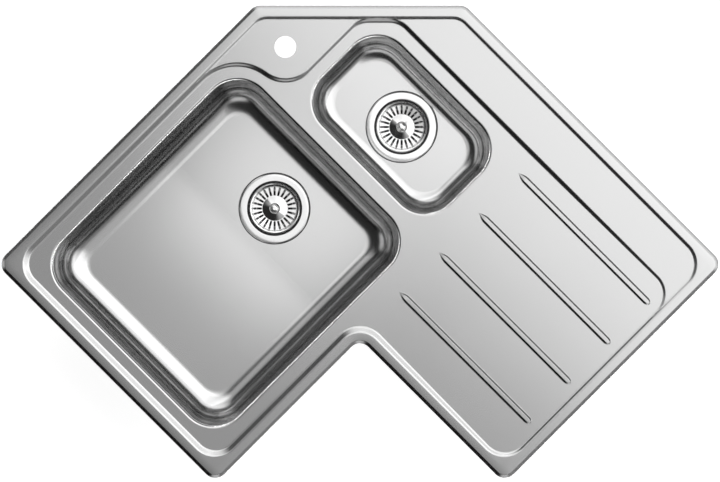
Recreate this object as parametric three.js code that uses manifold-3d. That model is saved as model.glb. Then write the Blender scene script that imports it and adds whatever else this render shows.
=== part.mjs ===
// Inset corner kitchen sink in stainless steel: one pressed deck with a raised rim, a tap
// ledge and a ribbed drainer, a main bowl and a half bowl welded under it, a basket waste in
// each bowl, and swivel clips that draw the rim down onto a worktop.
//
// Millimetres, +Z up. The deck fills the corner between two walls. A place on it is given as
// (u, v): u is its distance from the edge along the left wall, v its distance from the edge
// along the right wall. X runs along u and Y against v, so both walls are square to the axes.
// The origin is on the worktop, under the middle of the chamfered back edge's seal.

import * as THREE from 'three';
import { mergeVertices } from 'three/addons/utils/BufferGeometryUtils.js';
import Module from 'manifold-3d';

const wasm = await Module();
wasm.setup();

// ---------------------------------------------------------------- driving dimensions

const GAP = 0.3; // clearance kept between pieces that touch
const SHEET = 1; // stainless sheet of the deck and the bowls
const ARC_STEP = THREE.MathUtils.degToRad(18.1); // coarsest turn between two points of an arc

const WALL_SIDE = 830; // each side that lies along a wall
const LEG_DEPTH = 500; // front to back of each leg
const BACK_CHAMFER = 240; // cut from each side at the back corner

const EDGE_RADII = { end: 21, back: 20, notch: 19 }; // plan corners of the outer edge
const TRAY_RADII = { end: 43, back: 31, notch: 37.5 }; // plan corners of the rim's inner line
const ROLL_WIDTH = 6; // rolled outer edge, seen from above
const RIM_WIDTH = 18.5; // outer edge to where the rim steps down
const LIP_Z = 0.3; // bottom of the rolled edge, just off the worktop
const ROLL_BASE_Z = 1.2; // where the roll begins to curve in
const RIM_Z = 4.6; // the three levels of the deck, above the worktop
const LEDGE_Z = 2.8;
const WET_Z = -0.4;
const DRAINER_END_Z = 1.8; // the drainer climbs to this at its outer end
const STEP_SLOPE = 1.7; // mm that a step closes in for each mm it falls
const DECK_FLOOR_Z = -7.7; // where the turned-down bowl lips end

const LEDGE_DEPTH = 89.5; // right wall edge to the ledge's step
const BAY_SIDE = 133.5; // left wall edge to the right side of the tap ledge
const TAP = { u: 82.3, v: 252.4, holeR: 17.5, bayR: 51.2 };
const BAY_FALL = THREE.MathUtils.degToRad(9.6); // tilt of the step between the bay's arcs
const BAY_RUN_OUT_R = 80;
const BAY_TOP_R = 40;
const LEDGE_END_R = 43;

const RIB = { count: 4, firstV: 130.2, pitch: 90.4, startU: 492, length: 299, width: 11.5 };
const RIB_RISE = 2.4; // a rib's flat top above the drainer, all along it
const RIB_FLAT = 0.68; // share of a rib's width that is flat
const RIB_NOSE = 46; // pointed end beside the bowls
const RIB_TAIL = 10; // blunt outer end

const THROAT_R = 5; // the deck's turned-down edge round a bowl
const BOWL_CORNER_R = 55;
const WALL_DRAFT = 0.055; // mm a bowl wall leans in for each mm of depth
const MAIN_BOWL = {
  name: 'main', u: 249.3, v: 555.4, along: 399.6, across: 452.2, depth: 165, footR: 36,
  waste: { u: 251.6, v: 450 }, dishR: 76, dishFall: 1.5, floorRise: 11.5,
};
const HALF_BOWL = {
  name: 'half', u: 303.2, v: 209.3, along: 287.8, across: 177.6, depth: 130, footR: 24,
  waste: { u: 304.9, v: 208.2 }, dishR: 0, dishFall: 0, floorRise: 0,
};

const OUTLET_HOLE_R = 46; // hole in a bowl's floor for its waste
const SEAT_TOP_R = 59.4; // recess that the waste's flange lies in
const SEAT_R = 58;
const SEAT_DEPTH = 2.2;
const CUP_R = 38.2; // inside of the waste's steel cup
const CUP_FLOOR = -31; // heights in a waste are measured from the bowl floor at its rim
const LEDGE_IN_CUP = -1.8; // step that the basket's rim rests on
const BODY_TOP = -5.8;
const SPIGOT_R = 23.9; // outlet with a G 1 1/2 outside diameter
const SPIGOT_END = -82;
const CLAMP_SHANK_R = 2.5;

const SLOTS = { count: 24, from: 20.6, to: 35.4, width: 2.3 };
const BASKET_SIDES = SLOTS.count; // one facet for each slot
const ROUND_SIDES = 24;
const SMALL_SIDES = 8;
const RING_SIDES = 16;

const SEAL = { inner: 15, outer: 7 }; // rim seal, measured in from the outer edge
const PAD_THICK = 2.5;
const PADS = {
  main: { u: 250, v: 645, along: 240, across: 140, r: 14 },
  half: { u: 217, v: 209, along: 44, across: 96, r: 10 },
};

const CLIP_INSET = 31; // outer edge to a clip's screw
const CLIP = { width: 24, sheet: 1.5, drop: 54, tabOut: 3.6, webIn: 7.6, footOut: 6 };
const CLAW = { reach: 26, width: 11, hubR: 5.5, hub: 10, rest: -42 };
const SCREW = { r: 2.5, headR: 5, head: 3.6 };
const CLIP_PLACES = [
  { edge: 'left', along: 430 }, { edge: 'left', along: 700 },
  { edge: 'right', along: 330 }, { edge: 'right', along: 680 },
  { edge: 'drainer_end', along: 250 }, { edge: 'drainer_front', along: 680 },
  { edge: 'notch', along: 640 }, { edge: 'bowl_end', along: 250 },
];

const ORIGIN_INSET = (SEAL.inner + SEAL.outer) / 2; // the origin lies under the seal's middle
const ORIGIN_UV = BACK_CHAMFER / 2 + ORIGIN_INSET / Math.SQRT2;

// ---------------------------------------------------------------- finishes

const finish = (color, metalness, roughness) =>
  new THREE.MeshStandardMaterial({ color, metalness, roughness, flatShading: true });
const FINISH = {
  brushed: () => finish(0xc9cbcc, 1, 0.32),
  polished: () => finish(0xd6d8d9, 1, 0.16),
  zinc: () => finish(0xa9adb0, 1, 0.45),
  plastic: () => finish(0xe9e9e6, 0, 0.5),
  rubber: () => finish(0x26272a, 0, 0.85),
  foam: () => finish(0x3a3b3d, 0, 0.95),
  bitumen: () => finish(0x2f3032, 0, 0.9),
};

// ---------------------------------------------------------------- plan outlines

const at = (u, v) => new THREE.Vector2(u, -v);
const corner = (u, v, r) => ({ p: at(u, v), r });
const leftOf = (heading) => new THREE.Vector2(-heading.y, heading.x);

// Headings into and out of corner i of a loop.
function headings(corners, i) {
  const { p } = corners[i];
  const into = p.clone().sub(corners.at(i - 1).p).normalize();
  const outOf = corners[(i + 1) % corners.length].p.clone().sub(p).normalize();
  return { into, outOf };
}

// Points of an anticlockwise loop with each corner rounded to its own radius.
function rounded(corners) {
  return corners.flatMap(({ p, r }, i) => {
    const { into, outOf } = headings(corners, i);
    const turn = Math.atan2(into.cross(outOf), into.dot(outOf));
    const start = p.clone().addScaledVector(into, -r * Math.tan(Math.abs(turn) / 2));
    const centre = start.clone().addScaledVector(leftOf(into), r * Math.sign(turn));
    const steps = Math.ceil(Math.abs(turn) / ARC_STEP);
    return Array.from({ length: steps + 1 }, (_, k) =>
      start.clone().rotateAround(centre, (turn * k) / steps));
  });
}

// The same corners with every side moved in by a distance, so arcs stay concentric.
function inset(corners, distance) {
  return corners.map(({ p, r }, i) => {
    const { into, outOf } = headings(corners, i);
    const bisector = leftOf(into).add(leftOf(outOf)).divideScalar(1 + into.dot(outOf));
    const convex = into.cross(outOf) > 0;
    return {
      p: p.clone().addScaledVector(bisector, distance),
      r: convex ? r - distance : r + distance,
    };
  });
}

// The deck's plan, anticlockwise from the back corner's left end.
const deckCorners = (radii) => [
  corner(0, BACK_CHAMFER, radii.back),
  corner(0, WALL_SIDE, radii.end),
  corner(LEG_DEPTH, WALL_SIDE, radii.end),
  corner(LEG_DEPTH, LEG_DEPTH, radii.notch),
  corner(WALL_SIDE, LEG_DEPTH, radii.end),
  corner(WALL_SIDE, 0, radii.end),
  corner(BACK_CHAMFER, 0, radii.back),
];
const edgeLoop = (distance) => rounded(inset(deckCorners(EDGE_RADII), distance));

// The rim's inner line. Its corners have wider radii than the outer edge's.
function trayCorners() {
  const radii = TRAY_RADII;
  const lines = inset(deckCorners(EDGE_RADII), RIM_WIDTH);
  const r = [radii.back, radii.end, radii.end, radii.notch, radii.end, radii.end, radii.back];
  return lines.map(({ p }, i) => ({ p, r: r[i] }));
}

// The top line of the step down to the wet area. It follows the rim's inner line, and leaves
// a ledge along the right wall and a bay for the tap, whose step is two arcs in an S.
function wetCorners() {
  const [, leftEnd, notchEnd, notch, drainerFront, drainerBack] = inset(
    trayCorners(), (RIM_Z - LEDGE_Z) * STEP_SLOPE);
  const lineU = leftEnd.p.x;
  const chamferSum = BACK_CHAMFER + (RIM_WIDTH + (RIM_Z - LEDGE_Z) * STEP_SLOPE) * Math.SQRT2;
  const bayV = TAP.v + TAP.bayR * Math.tan(Math.PI / 4 - BAY_FALL / 2);
  const runOutV = bayV + (BAY_SIDE - lineU) * Math.tan(BAY_FALL);
  return [
    corner(BAY_SIDE, bayV, TAP.bayR),
    corner(lineU, runOutV, BAY_RUN_OUT_R),
    leftEnd,
    notchEnd,
    notch,
    drainerFront,
    corner(drainerBack.p.x, LEDGE_DEPTH, drainerBack.r),
    corner(chamferSum - LEDGE_DEPTH, LEDGE_DEPTH, LEDGE_END_R),
    corner(BAY_SIDE, chamferSum - BAY_SIDE, BAY_TOP_R),
  ];
}

// A rounded rectangle, drawn in by a distance while its corners tighten more slowly.
function rectangleLoop({ u, v, along, across }, radius, distance = 0) {
  const [halfU, halfV] = [along / 2 - distance, across / 2 - distance];
  return rounded([
    corner(u - halfU, v - halfV, radius),
    corner(u - halfU, v + halfV, radius),
    corner(u + halfU, v + halfV, radius),
    corner(u + halfU, v - halfV, radius),
  ]);
}

// A circle with the same number of points as a rounded rectangle, paired with its corners.
function circleLoop({ u, v }, radius, count) {
  return Array.from({ length: count }, (_, k) => {
    const turn = Math.PI / 2 + (2 * k + 1) * (Math.PI / count);
    return at(u, v).add(new THREE.Vector2(radius, 0).rotateAround(new THREE.Vector2(), turn));
  });
}

// ---------------------------------------------------------------- solids

// Welds a geometry into an indexed mesh of positions only, without its collapsed triangles.
function weld(geometry) {
  geometry.deleteAttribute('normal');
  geometry.deleteAttribute('uv');
  const merged = mergeVertices(geometry, 1e-4);
  const kept = [];
  for (let i = 0; i < merged.index.count; i += 3) {
    const triangle = [0, 1, 2].map((k) => merged.index.getX(i + k));
    if (new Set(triangle).size === 3) kept.push(...triangle);
  }
  merged.setIndex(kept);
  return merged;
}

function toSolid(geometry) {
  const merged = weld(geometry);
  const mesh = new wasm.Mesh({
    numProp: 3,
    vertProperties: new Float32Array(merged.attributes.position.array),
    triVerts: new Uint32Array(merged.index.array),
  });
  return new wasm.Manifold(mesh);
}

function toGeometry(solid) {
  const { vertProperties, triVerts } = solid.getMesh();
  const geometry = new THREE.BufferGeometry();
  geometry.setAttribute('position', new THREE.BufferAttribute(vertProperties, 3));
  geometry.setIndex(new THREE.BufferAttribute(triVerts, 1));
  geometry.computeVertexNormals();
  return geometry;
}

// A skin over loops stacked in order, each with the same number of points. A loop's height is
// a number, or a function of its points. The skin closes with a flat cap at each end or, as a
// ring, by joining its last loop to its first.
function stack(levels, { ring = false } = {}) {
  const count = levels[0].loop.length;
  const positions = levels.flatMap(({ loop, z }) =>
    loop.flatMap((p) => [p.x, p.y, typeof z === 'function' ? z(p) : z]));
  const index = [];
  const bands = ring ? levels.length : levels.length - 1;
  for (let band = 0; band < bands; band += 1) {
    const [low, high] = [band * count, ((band + 1) % levels.length) * count];
    for (let k = 0; k < count; k += 1) {
      const next = (k + 1) % count;
      index.push(low + k, low + next, high + next, low + k, high + next, high + k);
    }
  }
  if (!ring) {
    const last = (levels.length - 1) * count;
    THREE.ShapeUtils.triangulateShape(levels[0].loop, []).forEach(([a, b, c]) =>
      index.push(a, c, b));
    THREE.ShapeUtils.triangulateShape(levels.at(-1).loop, []).forEach(([a, b, c]) =>
      index.push(last + a, last + b, last + c));
  }
  const geometry = new THREE.BufferGeometry();
  geometry.setAttribute('position', new THREE.Float32BufferAttribute(positions, 3));
  geometry.setIndex(index);
  return weld(geometry);
}

// A plate of one outline between two heights, with holes.
function plate(loop, lowZ, highZ, holes = []) {
  const shape = new THREE.Shape(loop);
  shape.holes = holes.map((hole) => new THREE.Path(hole));
  const geometry = new THREE.ExtrudeGeometry(shape, { depth: highZ - lowZ, bevelEnabled: false });
  return weld(geometry.translate(0, 0, lowZ));
}

// A profile of [radius, height] points, anticlockwise seen with the axis on its left.
function turned(profile, sides = ROUND_SIDES) {
  const points = profile.map(([r, z]) => new THREE.Vector2(r, z));
  if (profile[0][0] > 0) points.push(points[0].clone());
  return weld(new THREE.LatheGeometry(points, sides).rotateX(Math.PI / 2));
}

const cylinder = (r, lowZ, highZ, sides = ROUND_SIDES) =>
  turned([[0, lowZ], [r, lowZ], [r, highZ], [0, highZ]], sides);

const block = (x0, x1, y0, y1, z0, z1) =>
  new THREE.BoxGeometry(x1 - x0, y1 - y0, z1 - z0)
    .translate((x0 + x1) / 2, (y0 + y1) / 2, (z0 + z1) / 2);

const cut = (solid, ...tools) => tools.reduce((left, tool) => left.subtract(tool), solid);
const join = (...solids) => solids.reduce((whole, solid) => whole.add(solid));

// ---------------------------------------------------------------- deck

// The deck is what lies between two solids: the space under its top face, and the space
// under its lower face. `drop` is 0 for the first and the sheet's thickness for the second.

const BLOCK_INSET = 12;
const ROLL_STEPS = 3;
const quarter = (k, steps) => (Math.PI / 2) * (k / steps);

function blank(drop) {
  const levels = [
    { loop: edgeLoop(BLOCK_INSET - drop), z: DECK_FLOOR_Z - drop },
    { loop: edgeLoop(BLOCK_INSET - drop), z: LIP_Z - drop },
    { loop: edgeLoop(drop), z: LIP_Z - drop },
  ];
  for (let k = 0; k <= ROLL_STEPS; k += 1) {
    const turn = quarter(k, ROLL_STEPS);
    levels.push({
      loop: edgeLoop(drop + (ROLL_WIDTH - drop) * (1 - Math.cos(turn))),
      z: ROLL_BASE_Z + (RIM_Z - drop - ROLL_BASE_Z) * Math.sin(turn),
    });
  }
  return toSolid(stack(levels));
}

// A sunken area whose sloping sides cross the given corners at height z.
function basin(corners, z, lowZ, highZ) {
  const level = (height) => ({
    loop: rounded(inset(corners, (z - height) * STEP_SLOPE)),
    z: height,
  });
  return toSolid(stack([level(lowZ), level(highZ)]));
}

const drainerStartU = LEG_DEPTH - RIM_WIDTH;
const drainerEndU = WALL_SIDE - RIM_WIDTH;
const wetZ = (u) => {
  const climb = THREE.MathUtils.clamp((u - drainerStartU) / (drainerEndU - drainerStartU), 0, 1);
  return WET_Z + (DRAINER_END_Z - WET_Z) * climb;
};

// Everything above the wet area's floor: level round the bowls, climbing along the drainer.
function aboveWetFloor() {
  const top = RIM_Z + 1;
  const profile = [
    [0, WET_Z], [drainerStartU, WET_Z], [drainerEndU, DRAINER_END_Z], [WALL_SIDE, DRAINER_END_Z],
    [WALL_SIDE, top], [0, top],
  ].map(([u, z]) => new THREE.Vector2(u, z));
  const geometry = plate(profile, 0, WALL_SIDE).rotateX(Math.PI / 2);
  return toSolid(geometry);
}

// One rib, from the bowl end outwards: a flat top between steep flanks, at an even height over
// the sloping drainer.
function rib(v) {
  const stations = [0, 9, 24, RIB_NOSE, RIB.length - RIB_TAIL, RIB.length - 3, RIB.length];
  const levels = stations.map((s) => {
    const nose = Math.min(1, s / RIB_NOSE);
    const tail = Math.min(1, (RIB.length - s) / RIB_TAIL);
    const swell = Math.sin((Math.PI / 2) * nose) * Math.sqrt(1 - (1 - tail) ** 2);
    const half = Math.max(0.4, (RIB.width / 2) * swell);
    const floorZ = wetZ(RIB.startU + s);
    const topZ = floorZ + Math.max(0.05, RIB_RISE * Math.sqrt(swell));
    const section = [
      [half, floorZ - 1], [half, floorZ], [RIB_FLAT * half, topZ],
      [-RIB_FLAT * half, topZ], [-half, floorZ], [-half, floorZ - 1],
    ];
    return { loop: section.map(([x, z]) => new THREE.Vector2(x, z)), z: s };
  });
  const [x, y, z] = [0, 1, 2].map((axis) => new THREE.Vector3().setComponent(axis, 1));
  const geometry = stack(levels).applyMatrix4(new THREE.Matrix4().makeBasis(y, z, x));
  return toSolid(geometry.translate(RIB.startU, -v, 0));
}

// The opening over a bowl: the wet floor rolls down over a quarter circle into a short lip.
function throat(bowl, drop) {
  const loop = (out) => rectangleLoop(bowl, BOWL_CORNER_R + out, -out);
  const levels = [{ loop: loop(drop), z: DECK_FLOOR_Z - 2 }];
  for (let k = 0; k <= ROLL_STEPS; k += 1) {
    const turn = quarter(k, ROLL_STEPS);
    levels.push({
      loop: loop(THROAT_R - (THROAT_R - drop) * Math.cos(turn)),
      z: WET_Z - THROAT_R + (THROAT_R - drop) * Math.sin(turn),
    });
  }
  return toSolid(stack(levels));
}

function underDeck(drop) {
  const lower = (solid) => solid.translate([0, 0, -drop]);
  const tray = basin(trayCorners(), RIM_Z, LEDGE_Z, RIM_Z + 1);
  const wet = basin(wetCorners(), LEDGE_Z, WET_Z - 1, LEDGE_Z).intersect(aboveWetFloor());
  const ribs = Array.from({ length: RIB.count }, (_, i) => rib(RIB.firstV + i * RIB.pitch));
  const pressed = cut(blank(drop), lower(tray), lower(wet),
    throat(MAIN_BOWL, drop), throat(HALF_BOWL, drop));
  return join(pressed, ...ribs.map(lower));
}

function deck() {
  const tapHole = cylinder(TAP.holeR, DECK_FLOOR_Z, RIM_Z, 40).translate(TAP.u, -TAP.v, 0);
  return toGeometry(cut(underDeck(0), underDeck(SHEET), toSolid(tapHole)));
}

const rimSeal = () =>
  plate(edgeLoop(SEAL.outer), 0, RIM_Z - SHEET - GAP, [edgeLoop(SEAL.inner)]);

// ---------------------------------------------------------------- bowls

const FOOT_STEPS = 4;
const wallLean = (bowl) => WALL_DRAFT * (bowl.depth - THROAT_R - bowl.footR);
const bowlFloorZ = (bowl) => WET_Z - bowl.depth;
const wasteZ = (bowl) => bowlFloorZ(bowl) - bowl.dishFall;

// The floor is level behind the waste's axis, and climbs evenly from there to its front end.
const floorSlope = (bowl) =>
  bowl.floorRise / (bowl.v + bowl.across / 2 - wallLean(bowl) - bowl.footR - bowl.waste.v);
const floorClimb = (bowl, p) => floorSlope(bowl) * Math.max(0, -p.y - bowl.waste.v);

// The inner or outer face of a bowl, from the outlet hole out and up to the welded edge.
function bowlFace(bowl, thick) {
  const floorZ = bowlFloorZ(bowl);
  const side = (distance, z, share) => ({
    loop: rectangleLoop(bowl, BOWL_CORNER_R - 0.55 * distance, distance),
    z: (p) => z + share * floorClimb(bowl, p),
  });
  const count = side(0, 0, 0).loop.length;
  const round = (radius, z) => ({ loop: circleLoop(bowl.waste, radius, count), z: z - thick });
  const dish = bowl.dishR ? [{
    loop: circleLoop(bowl.waste, bowl.dishR, count),
    z: (p) => floorZ - thick + floorClimb(bowl, p),
  }] : [];
  const levels = [
    round(OUTLET_HOLE_R, wasteZ(bowl) - SEAT_DEPTH),
    round(SEAT_R, wasteZ(bowl) - SEAT_DEPTH),
    round(SEAT_TOP_R, wasteZ(bowl)),
    ...dish,
  ];
  for (let k = 0; k <= FOOT_STEPS; k += 1) {
    const turn = quarter(k, FOOT_STEPS);
    const reach = bowl.footR + thick;
    levels.push(side(
      wallLean(bowl) + bowl.footR - reach * Math.sin(turn),
      floorZ + bowl.footR - reach * Math.cos(turn),
      Math.cos(turn),
    ));
  }
  levels.push(side(-thick, DECK_FLOOR_Z - GAP, 0));
  return levels;
}

const bowlShell = (bowl) =>
  stack([...bowlFace(bowl, SHEET), ...bowlFace(bowl, 0).reverse()], { ring: true });

// Damping pad, glued under the floor and as steep as it is.
function soundPad(bowl) {
  const pad = PADS[bowl.name];
  const loop = rectangleLoop(pad, pad.r);
  const top = (p) => bowlFloorZ(bowl) - SHEET - GAP + floorClimb(bowl, p);
  return stack([{ loop, z: (p) => top(p) - PAD_THICK }, { loop, z: top }]);
}

// ---------------------------------------------------------------- basket waste

// Heights here are from the bowl floor at the waste's rim, and radii from its axis.

const ring = (inner, outer, lowZ, highZ) =>
  turned([[inner, lowZ], [outer, lowZ], [outer, highZ], [inner, highZ]], RING_SIDES);

// Copies of a cutter, evenly round the axis.
const around = (count, cutter) => Array.from({ length: count }, (_, i) =>
  toSolid(cutter.clone().rotateZ((2 * Math.PI * i) / count)));

// A sector of a ring, as a cutter for the drain holes.
function sector(inner, outer, halfAngle, lowZ, highZ) {
  const shape = new THREE.Shape();
  shape.absarc(0, 0, outer, -halfAngle, halfAngle, false);
  shape.absarc(0, 0, inner, halfAngle, -halfAngle, true);
  const depth = highZ - lowZ;
  const geometry = new THREE.ExtrudeGeometry(shape, { depth, bevelEnabled: false, curveSegments: 2 });
  return geometry.translate(0, 0, lowZ);
}

// Steel cup with a crowned flange. Its floor is pierced round the clamp screw.
function wasteCup() {
  const wall = CUP_R + SHEET;
  const cup = turned([
    [0, CUP_FLOOR - SHEET], [wall, CUP_FLOOR - SHEET], [wall, LEDGE_IN_CUP - SHEET],
    [44, LEDGE_IN_CUP - SHEET], [45.6, -0.6], [54.2, -0.4], [56.5, -1.9],
    [57.5, -1.9], [54.6, 0.8], [49, 0.9], [46.2, 0.2],
    [44.5, LEDGE_IN_CUP], [CUP_R, LEDGE_IN_CUP], [CUP_R, CUP_FLOOR], [0, CUP_FLOOR],
  ]);
  const below = CUP_FLOOR - 2 * SHEET;
  const above = CUP_FLOOR + SHEET;
  const drains = around(6, sector(9.5, 24, THREE.MathUtils.degToRad(24), below, above));
  const screwHole = toSolid(cylinder(CLAMP_SHANK_R + GAP, below, above, SMALL_SIDES));
  return toGeometry(cut(toSolid(cup), ...drains, screwHole));
}

// Steel basket: a rolled rim, a slotted floor and a raised boss for the plug's stem.
function basket() {
  const dish = turned([
    [3.6, -3.6], [8.5, -4.3], [14, -8.6], [19, -11.9], [36.8, -11.4], [37.8, -1.5],
    [40.3, -1.5], [39.9, 0.2], [38, 0.5], [37, -0.8],
    [36, -10.2], [19.4, -10.8], [14.6, -7.4], [9, -3], [3.6, -2.4],
  ], BASKET_SIDES);
  const half = SLOTS.width / 2;
  const slot = block(SLOTS.from, SLOTS.to, -half, half, -13, -10)
    .rotateZ(Math.PI / BASKET_SIDES);
  return toGeometry(cut(toSolid(dish), ...around(SLOTS.count, slot)));
}

// Knob, stem and seal plate in one turned piece. It stands in the closed position.
const plugKnob = () => turned([
  [0, -27.2], [22, -27.2], [22, -26], [6, -25], [3.1, -22], [3.1, -2.1], [4.4, -2.1], [5.3, -0.5],
  [4.3, 0.8], [5.8, 2.6], [5.2, 4.2], [0, 4.9],
], 16);

// Rubber ring under the seal plate. It presses on the cup's floor round the drain holes.
const plugSeal = () => turned([
  [8, -30.7], [28.6, -30.7], [30, -29.2], [28.4, -27.5], [8, -27.5],
], RING_SIDES);

// Plastic body under the bowl: a flanged cup, a funnel and a spigot, with a bridge of three
// webs that holds the screw's boss.
function wasteBody() {
  const shell = turned([
    [41, BODY_TOP], [41, -38], [SPIGOT_R - 3.4, -47], [SPIGOT_R - 3.4, SPIGOT_END],
    [SPIGOT_R, SPIGOT_END], [SPIGOT_R, -50], [44, -40], [44, BODY_TOP - 3.2],
    [57, BODY_TOP - 3.2], [57, BODY_TOP],
  ]);
  const bossTop = -37;
  const bossEnd = -54;
  const webs = around(3, block(0, SPIGOT_R - 1.5, -1.2, 1.2, bossEnd, -49));
  const boss = toSolid(cylinder(5.6, bossEnd, bossTop, SMALL_SIDES));
  const bore = toSolid(cylinder(CLAMP_SHANK_R + GAP, bossEnd - 1, bossTop + 1, SMALL_SIDES));
  return toGeometry(cut(join(toSolid(shell), boss, ...webs), bore));
}

// Cheese-headed screw with a hexagon socket, through the cup's floor into the body's boss.
function clampScrew() {
  const head = CUP_FLOOR + GAP;
  const screw = turned([
    [0, -53], [CLAMP_SHANK_R - 0.8, -53], [CLAMP_SHANK_R, -52], [CLAMP_SHANK_R, head],
    [5.4, head], [5.4, head + 1.8], [4.8, head + 2.4], [0, head + 2.4],
  ], SMALL_SIDES);
  const socket = cylinder(2.4, head + 0.6, head + 4, 6);
  return toGeometry(cut(toSolid(screw), toSolid(socket)));
}

function wasteSet(bowl) {
  const place = new THREE.Vector3(bowl.waste.u, -bowl.waste.v, wasteZ(bowl));
  const seatZ = -SEAT_DEPTH;
  const underFloor = seatZ - SHEET;
  const name = (what) => `${bowl.name}_${what}`;
  const pieces = [
    piece(name('flange_gasket'), ring(47.5, 54, seatZ + GAP, -0.9), FINISH.rubber()),
    piece(name('waste_cup'), wasteCup(), FINISH.polished()),
    piece(name('body_gasket'), ring(47.5, 56, BODY_TOP + GAP, underFloor - GAP), FINISH.rubber()),
    piece(name('waste_body'), wasteBody(), FINISH.plastic()),
    piece(name('clamp_screw'), clampScrew(), FINISH.zinc()),
    piece(name('basket'), basket(), FINISH.polished()),
    piece(name('plug_knob'), plugKnob(), FINISH.polished()),
    piece(name('plug_seal'), plugSeal(), FINISH.rubber()),
  ];
  pieces.forEach((mesh) => mesh.position.copy(place));
  return pieces;
}

// ---------------------------------------------------------------- mounting clips

// A clip is drawn with its screw on the Z axis, the outer edge of the deck towards +X, and
// heights from the underside of the sheet that its bracket is welded to.

// Folded bracket: a welded tab, a web and a foot, in the shape of a C.
function clipBracket() {
  const { width, sheet, drop, tabOut, webIn, footOut } = CLIP;
  const half = width / 2;
  const outline = [
    [tabOut, -GAP], [-webIn, -GAP], [-webIn, -drop], [footOut, -drop], [footOut, sheet - drop],
    [sheet - webIn, sheet - drop], [sheet - webIn, -GAP - sheet], [tabOut, -GAP - sheet],
  ].map(([x, z]) => new THREE.Vector2(x, z));
  const folded = plate(outline, -half, half).rotateX(Math.PI / 2);
  const hole = cylinder(SCREW.r + GAP, -drop - 1, sheet - drop + 1, SMALL_SIDES);
  return toGeometry(cut(toSolid(folded), toSolid(hole)));
}

// Screw that hangs in the foot, with its slotted head below, where a screwdriver reaches it.
function clipScrew() {
  const { r, headR, head } = SCREW;
  const foot = -CLIP.drop - GAP;
  const screw = turned([
    [0, foot - head], [headR - 0.7, foot - head], [headR, foot - head + 0.9], [headR, foot],
    [r, foot], [r, -2.6], [0, -2.6],
  ], SMALL_SIDES);
  const slot = block(-headR - 1, headR + 1, -0.7, 0.7, foot - head - 1, foot - head + 1.4);
  return toGeometry(cut(toSolid(screw), toSolid(slot)));
}

// Claw with a threaded hub. It lies along the rim when it is let go, and its tooth bites
// into the underside of the worktop once it has swung out and been drawn up.
function clipClaw() {
  const { reach, width, hubR, hub, rest } = CLAW;
  const half = width / 2;
  const arm = [[0, -half], [reach, -half * 0.75], [reach, half * 0.75], [0, half]]
    .map(([x, y]) => new THREE.Vector2(x, y));
  const bar = plate(arm, rest - hub, rest - hub + 2.4);
  const profile = [[reach - 7, 2 - hub], [reach, 2 - hub], [reach, 0], [reach - 2, 0]]
    .map(([x, z]) => new THREE.Vector2(x, rest + z));
  const spur = plate(profile, -half * 0.7, half * 0.7).rotateX(Math.PI / 2);
  const boss = cylinder(hubR, rest - hub, rest, SMALL_SIDES);
  const bore = cylinder(SCREW.r + GAP, rest - hub - 1, rest + 1, SMALL_SIDES);
  return toGeometry(cut(join(toSolid(bar), toSolid(spur), toSolid(boss)), toSolid(bore)));
}

// Where a clip's screw stands, which way is out, and the sheet's underside over its tab.
function clipPlace({ edge, along }) {
  const far = WALL_SIDE - CLIP_INSET;
  const front = LEG_DEPTH - CLIP_INSET;
  const inner = CLIP.webIn;
  const places = {
    left: { u: CLIP_INSET, v: along, outward: 180, under: WET_Z },
    right: { u: along, v: CLIP_INSET, outward: 90, under: LEDGE_Z },
    drainer_end: { u: far, v: along, outward: 0, under: wetZ(far - inner) },
    drainer_front: { u: along, v: front, outward: 270, under: wetZ(along - CLIP.width / 2) },
    notch: { u: front, v: along, outward: 0, under: WET_Z },
    bowl_end: { u: along, v: far, outward: 270, under: WET_Z },
  };
  return places[edge];
}

function clip(place, number) {
  const { u, v, outward, under } = clipPlace(place);
  const set = new THREE.Group();
  const bracket = piece(`clip_${number}_bracket`, clipBracket(), FINISH.zinc());
  const screw = piece(`clip_${number}_screw`, clipScrew(), FINISH.zinc());
  const claw = piece(`clip_${number}_claw`, clipClaw(), FINISH.zinc());
  claw.rotation.z = Math.PI / 2;
  set.add(bracket, screw, claw);
  set.position.set(u, -v, under - SHEET);
  set.rotation.z = THREE.MathUtils.degToRad(outward);
  return set;
}

// ---------------------------------------------------------------- the sink

function piece(name, geometry, material) {
  const mesh = new THREE.Mesh(geometry, material);
  mesh.name = name;
  return mesh;
}

const sink = new THREE.Group();
sink.add(piece('deck', deck(), FINISH.brushed()));
sink.add(piece('rim_seal', rimSeal(), FINISH.foam()));
for (const bowl of [MAIN_BOWL, HALF_BOWL]) {
  sink.add(piece(`${bowl.name}_bowl`, bowlShell(bowl), FINISH.brushed()));
  sink.add(piece(`${bowl.name}_sound_pad`, soundPad(bowl), FINISH.bitumen()));
  sink.add(...wasteSet(bowl));
}
CLIP_PLACES.forEach((place, i) => sink.add(clip(place, i + 1)));
sink.position.set(-ORIGIN_UV, ORIGIN_UV, 0);

export default sink;
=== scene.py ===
"""Inset corner kitchen sink in brushed stainless steel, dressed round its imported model.

Every new piece is a surface worked out in millimetres on the sink's own plan. A place on
the plan is (x, y): x is the distance from the edge along the left wall, and y is minus the
distance from the edge along the right wall. Heights are from the worktop. `to_frame` moves
a finished surface into the frame, in metres.
"""

import math

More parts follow.
